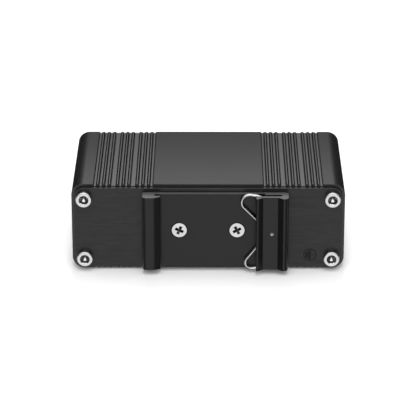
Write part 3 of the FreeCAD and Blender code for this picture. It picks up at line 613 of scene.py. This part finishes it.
# The plates' edge tone of 0.12 is a painted highlight along their edges
plate_black = anodised(
    "plate_black", axis=(1, 0, 0), gloss=0.39, tones=(0.008, 0.012, 0.012, 0.12), matt=(0.27, 0.42),
    line_scale=2200.0, line_depth=0.01 * MM, edge_w=0.16 * MM)
clip_black = anodised(
    "clip_black", axis=(0, 0, 1), gloss=0.385, tones=(0.005, 0.007, 0.12, 0.01), matt=(0.28, 0.36),
    line_scale=5000.0, line_depth=0.004 * MM, edge_w=0.1 * MM)
plate_tree = plate_black.node_tree
streaks = place_group(plate_tree, grain, Stretch=(0.1, 1, 1), Scale=1500.0, Low=0.0, High=0.24)["Value"]
into_shader(plate_tree, Coat_Weight=streaks)
wear(case_black, "extruded_case")
wear(plate_black, "rear_plate", "front_plate")
wear(clip_black, "din_clip")

# %% [markdown]
# ## Print
# The earth mark is screen ink: as black as the plate, but duller and without its lines, so the plate's sheen
# stops at its edge. A plain dark colour would look like a hole, so the ink keeps a little gloss and a grain.

# %% Mark ink
EVEN = (1, 1, 1)

mark_ink, tree = new_finish("mark_ink", Specular_IOR_Level=0.26)
into_shader(
    tree,
    Base_Color=place_group(tree, tone_drift, Dark=grey(0.004), Light=grey(0.006), Scale=900.0)["Color"],
    Roughness=place_group(tree, grain, Stretch=EVEN, Scale=9000.0, Low=0.5, High=0.6)["Value"],
)
wear(mark_ink, "earth_mark")

# %% [markdown]
# ## Bright steel
# The screws are plain bright steel, the spring is drawn wire, the serial shell is satin nickel plate. All
# are metals, so their colour is in the reflection. Each could be a network of its own, but they differ only
# in tone, roughness and marks, so one function makes them all: small pits on the screws, draw lines on the
# wire, a smooth skin with cloudy patches on nickel. The depths of the sockets and crosses get painted shade:
# the points' value for it, made with the screws, darkens the metal there. Pieces without that value stay
# bright all over.

# %% Metal finishes
# Colour of the painted shade in sockets and crosses
RECESS_SHADE_GREY = grey(0.05)


def metal(name, dark, light, rough, stretch, scale, depth):
    """Bare metal between two tones, with its lowest and highest roughness and the grain of its marks."""
    finish, tree = new_finish(name, Metallic=1.0)
    tone = place_group(tree, tone_drift, Dark=dark, Light=light, Scale=400.0)["Color"]
    marks = place_group(tree, grain, Stretch=stretch, Scale=scale, Low=0.0, High=1.0)["Value"]
    # Painted shade: the point attribute made with the screws darkens the metal in sockets and crosses
    recess_shade = add_node(tree, "ShaderNodeAttribute", attribute_name="recess_shade").outputs["Fac"]
    into_shader(
        tree,
        Base_Color=mix(tree, "RGBA", recess_shade, tone, RECESS_SHADE_GREY),
        Roughness=place_group(tree, grain, Stretch=EVEN, Scale=350.0, Low=rough[0], High=rough[1])["Value"],
        Normal=bumped(tree, marks, strength=0.3, depth=depth),
    )
    return finish


screw_steel = metal(
    "screw_steel", dark=grey(0.62), light=grey(0.76), rough=(0.13, 0.2),
    stretch=EVEN, scale=6000.0, depth=0.003 * MM)
spring_steel = metal(
    "spring_steel", dark=grey(0.68), light=grey(0.82), rough=(0.2, 0.32),
    stretch=(1, 1, 0.08), scale=9000.0, depth=0.004 * MM)
shell_nickel = metal(
    "shell_nickel", dark=(0.5, 0.48, 0.44, 1), light=(0.63, 0.61, 0.56, 1), rough=(0.36, 0.42),
    stretch=EVEN, scale=3000.0, depth=0.0012 * MM)
contact_metal = metal(
    "contact_metal", dark=(0.7, 0.5, 0.18, 1), light=(0.83, 0.62, 0.26, 1), rough=(0.2, 0.32),
    stretch=EVEN, scale=5000.0, depth=0.003 * MM)
can_metal = metal(
    "can_metal", dark=grey(0.55), light=grey(0.68), rough=(0.28, 0.42),
    stretch=(1, 1, 0.05), scale=4000.0, depth=0.004 * MM)
wear(screw_steel, "rear_cap_screws", "front_cap_screws", "clip_cross_screws")
wear(screw_steel, "clip_nuts", "spring_pin", "power_screws")
wear(spring_steel, "din_spring")
wear(shell_nickel, "serial_shell", "serial_brackets", "serial_jackscrews")
wear(contact_metal, "serial_contact_tubes", "serial_contacts", "transceiver_pins")
wear(contact_metal, "power_pins", "power_clamps")
wear(can_metal, "bulk_capacitors", "clock_crystal")

# %% [markdown]
# ## Mouldings
# The ports, the terminal, the chips and the white sleeves are moulded. A mould leaves a fine even texture
# and slightly paler edges, and the tone drifts a little with the flow of the plastic. They could all share
# one material with a colour attribute, but separate finishes from one function keep each slot's own gloss.

# %% Moulded finishes
# How much paler than the light tone a rubbed edge is
EDGE_GAIN = 1.6


def moulded(name, dark, light, rough, depth):
    """Moulded plastic between two tones, with its lowest and highest roughness and its skin's depth."""
    finish, tree = new_finish(name, Specular_IOR_Level=0.45)
    tone = place_group(tree, tone_drift, Dark=dark, Light=light, Scale=250.0)["Color"]
    edge = place_group(tree, soft_edge, Width=0.15 * MM, Gain=0.25)
    skin = place_group(tree, grain, Stretch=EVEN, Scale=4500.0, Low=0.0, High=1.0)["Value"]
    paler = tuple(min(1.0, EDGE_GAIN * part) for part in light[:3]) + (1.0,)
    into_shader(
        tree,
        Base_Color=mix(tree, "RGBA", edge["Mask"], tone, paler),
        Roughness=place_group(tree, grain, Stretch=EVEN, Scale=1800.0, Low=rough[0], High=rough[1])["Value"],
        Normal=bumped(tree, skin, strength=0.3, depth=depth, normal=edge["Normal"]),
    )
    return finish


port_plastic = moulded(
    "port_plastic", dark=grey(0.011), light=grey(0.017), rough=(0.42, 0.56), depth=0.012 * MM)
terminal_green = moulded(
    "terminal_green", dark=(0.012, 0.16, 0.05, 1), light=(0.02, 0.22, 0.075, 1), rough=(0.4, 0.54),
    depth=0.012 * MM)
chip_black = moulded(
    "chip_black", dark=grey(0.012), light=grey(0.018), rough=(0.5, 0.65), depth=0.01 * MM)
sleeve_white = moulded(
    "sleeve_white", dark=(0.72, 0.7, 0.65, 1), light=(0.82, 0.8, 0.76, 1), rough=(0.14, 0.22),
    depth=0.003 * MM)
wear(port_plastic, "fibre_transceiver", "fibre_latches", "lamp_block")
wear(port_plastic, "serial_contact_block", "serial_rear_body")
wear(terminal_green, "power_header", "power_plug")
wear(chip_black, "processor_chip", "line_driver_chips", "power_module", "power_inductor")
wear(sleeve_white, "ferrule_sleeves")

# %% [markdown]
# ## Circuit board and lamps
# The board is woven glass under green lacquer, so a faint weave shows through its gloss: two grains, drawn
# out along and across, stand for the two threads. The lamp lenses are milky resin, unlit while the unit is
# off. Real glass would show the dark behind them, but at this size a pale glossy body looks the same.

# %% Board lacquer
LACQUER_DARK = (0.006, 0.06, 0.022, 1)
LACQUER_LIGHT = (0.012, 0.1, 0.038, 1)

board_green, tree = new_finish("board_green", Coat_Weight=0.4)
weave = place_group(tree, grain, Stretch=(1, 0.1, 1), Scale=3000.0, Low=0.0, High=1.0)["Value"]
into_shader(
    tree,
    Base_Color=place_group(tree, tone_drift, Dark=LACQUER_DARK, Light=LACQUER_LIGHT, Scale=300.0)["Color"],
    Roughness=place_group(tree, grain, Stretch=(0.1, 1, 1), Scale=3000.0, Low=0.28, High=0.4)["Value"],
    Normal=bumped(tree, weave, strength=0.25, depth=0.01 * MM),
)
wear(board_green, "main_board")

# %% Lamp resin
RESIN_DARK = (0.42, 0.5, 0.42, 1)
RESIN_LIGHT = (0.55, 0.62, 0.54, 1)

lamp_lens, tree = new_finish("lamp_lens", IOR=1.5, Coat_Weight=0.3)
into_shader(
    tree,
    Base_Color=place_group(tree, tone_drift, Dark=RESIN_DARK, Light=RESIN_LIGHT, Scale=900.0)["Color"],
    Roughness=place_group(tree, grain, Stretch=EVEN, Scale=2000.0, Low=0.1, High=0.2)["Value"],
)
wear(lamp_lens, "lamp_lenses")

# %% [markdown]
# ## Floor
# The unit lies on a white sweep. A large flat sheet does for it, because the light drives it to white long
# before its edge. It glows a little by itself, so the shade beside the unit never turns black, and it isn't
# seen in reflections: the room below stands in for it there, which keeps the black parts black.

# %% Floor
FLOOR_HALF = 4.0

corners = np.array([[-1, -1, 0], [1, -1, 0], [1, 1, 0], [-1, 1, 0]]) * FLOOR_HALF
floor_mesh = bpy.data.meshes.new("floor")
floor_mesh.from_pydata(corners.tolist(), [], [(0, 1, 2, 3)])
floor = bpy.data.objects.new("floor", floor_mesh)
bpy.context.scene.collection.objects.link(floor)
floor_paper, tree = new_finish(
    "floor_paper", Specular_IOR_Level=0.0, Roughness=1.0, Emission_Color=grey(1.0), Emission_Strength=0.08)
into_shader(
    tree, Base_Color=place_group(tree, tone_drift, Dark=grey(0.86), Light=grey(0.88), Scale=3.0)["Color"])
wear(floor_paper, "floor")
floor.visible_glossy = False
print("floor:", 2 * FLOOR_HALF, "m wide")

# %% [markdown]
# ## Light of the room
# A black satin thing shows its surroundings more than its own colour, so the room is drawn by direction. A
# ramp over the height goes from dark below to bright overhead. The top of the case mirrors the steep part of
# the ramp, which is why it gets paler towards the viewer. Seven soft white cards stand low down: one in front
# for the flat faces of plate and clip, one on each side of it for views from the corners, two at the ends and
# two beyond the ports. A picture of a studio would do as well, but a ramp and seven round lobes keep every
# value in sight.

# %% Light of the room
# Strength of the room's light by the sine of its height over the horizon
ROOM_BY_HEIGHT = (
    (-1.0, 0.02), (-0.25, 0.03), (0.0, 0.04), (0.2, 0.06), (0.32, 0.12),
    (0.385, 0.36), (0.44, 0.7), (0.62, 0.6), (0.8, 0.9), (1.0, 1.1),
)

world = bpy.data.worlds.new("studio")
world.use_nodes = True
tree = world.node_tree
toward = add_node(tree, "ShaderNodeTexCoord").outputs["Generated"]
sine = add_node(tree, "ShaderNodeSeparateXYZ", {0: toward}).outputs["Z"]
share = add_node(tree, "ShaderNodeMapRange", {"Value": sine, "From Min": -1.0}).outputs[0]
room = add_node(tree, "ShaderNodeValToRGB", {0: share})
stops = room.color_ramp.elements
while len(stops) < len(ROOM_BY_HEIGHT):
    stops.new(0.5)
for stop, (height, strength) in zip(stops, ROOM_BY_HEIGHT):
    stop.position = (height + 1) / 2
    stop.color = grey(strength)
print("room light stops:", len(stops))

# %% White cards
# Where each card stands, the cosine at its rim and where it is full, and its strength
CARDS = (
    ((0.0, -0.92, -0.39), (0.8, 0.98), 1.0),
    ((-0.8, 0.46, -0.39), (0.8, 0.97), 0.6),
    ((0.8, 0.46, -0.39), (0.8, 0.97), 0.6),
    ((-0.55, -0.72, -0.42), (0.94, 0.99), 0.35),
    ((0.55, -0.72, -0.42), (0.94, 0.99), 0.35),
    ((-0.97, 0.12, -0.2), (0.94, 0.985), 0.5),
    ((0.97, 0.12, -0.2), (0.94, 0.985), 0.5),
)

light_sum = room.outputs[0]
for aim, (rim, full), strength in CARDS:
    nearness = calculate_vector(tree, "DOT_PRODUCT", toward, aim)
    card = add_node(
        tree, "ShaderNodeMapRange",
        {"Value": nearness, "From Min": rim, "From Max": full, "To Max": strength},
        interpolation_type="SMOOTHSTEP")
    light_sum = calculate(tree, "ADD", light_sum, card.outputs[0])
background = tree.nodes["Background"]
feed(tree, background.inputs["Color"], grey(1.0))
feed(tree, background.inputs["Strength"], light_sum)
world.cycles.sampling_method = "NONE"
bpy.context.scene.world = world
print("white cards:", len(CARDS))

# %% [markdown]
# ## Lamps
# The floor lamp is limited to the floor by light linking, so it turns the paper white and leaves the unit
# alone. It is narrow across the unit and long from front to back, so the shade falls in front and not at the
# sides. The fill box in front makes the glints in the screws' sockets, and the small top box lifts the near
# part of the top. The port side faces away from all of them, so two lamps of its own light only the pieces
# there: one above, and one near the floor for the light that white paper throws back.

# %% Soft box
def soft_box(name, place, target, width, length, power, only=()):
    """Oblong area light at a place, facing a target; its width is along X where it faces along Y.

    It can be limited to some objects by name."""
    light = bpy.data.lights.new(name, "AREA")
    light.shape = "RECTANGLE"
    light.size = width
    light.size_y = length
    light.energy = power
    lamp = bpy.data.objects.new(name, light)
    lamp.location = place
    direction = np.subtract(target, place)
    level = math.hypot(direction[0], direction[1])
    bearing = math.atan2(direction[1], direction[0]) - math.pi / 2
    lamp.rotation_euler = (math.atan2(level, -direction[2]), 0, bearing)
    lamp.visible_camera = False
    bpy.context.scene.collection.objects.link(lamp)
    if only:
        lit = bpy.data.collections.new("lit_by_" + name)
        for piece_name in only:
            lit.objects.link(bpy.data.objects[piece_name])
        lamp.light_linking.receiver_collection = lit


# %% Lamps
PORT_SIDE = (
    "front_plate", "front_cap_screws", "fibre_transceiver", "ferrule_sleeves", "fibre_latches",
    "serial_shell", "serial_contact_block", "serial_contact_tubes", "serial_jackscrews", "power_header",
    "power_plug", "power_screws", "power_clamps", "lamp_lenses",
)

soft_box("floor_box", (0.0, 0.3, 1.2), (0.0, 0.0, 0.0), width=0.2, length=6.0, power=23.5, only=("floor",))
soft_box("top_box", (0.0, 0.16, 0.182), (0.0, 0.0, 0.03), width=0.16, length=0.16, power=0.06)
soft_box("fill_box", (0.0, -0.62, 0.55), (0.0, 0.0, 0.02), width=1.0, length=0.4, power=2.0)
soft_box(
    "port_box", (0.0, 0.5, 0.42), (0.0, 0.03, 0.015), width=0.9, length=0.4, power=2.3, only=PORT_SIDE)
soft_box(
    "port_bounce", (0.0, 0.5, 0.002), (0.0, 0.48, 1.0), width=1.2, length=0.9, power=1.9, only=PORT_SIDE)

# %% [markdown]
# ## Camera
# The unit is seen from the side of the rail clip, about 23 degrees from above, through a long lens that keeps
# its edges almost parallel. The near and far edges of the top and the four corner screws fix the camera's
# place: it was worked out by fitting their positions, and not by eye.

# %% Camera
CAMERA_AT = (0.0016, -0.7205, 0.3207)
CAMERA_PITCH = 66.71
CAMERA_YAW = 0.137
FOCAL_MM = 198.95
SENSOR_MM = 36.0

view = bpy.data.cameras.new("camera")
view.sensor_width = SENSOR_MM
view.lens = FOCAL_MM
camera = bpy.data.objects.new("camera", view)
camera.location = CAMERA_AT
camera.rotation_euler = (math.radians(CAMERA_PITCH), 0, math.radians(CAMERA_YAW))
bpy.context.scene.collection.objects.link(camera)
bpy.context.scene.camera = camera
bpy.context.scene.view_settings.view_transform = "Standard"
print("camera height in mm:", round(camera.location.z / MM, 1))
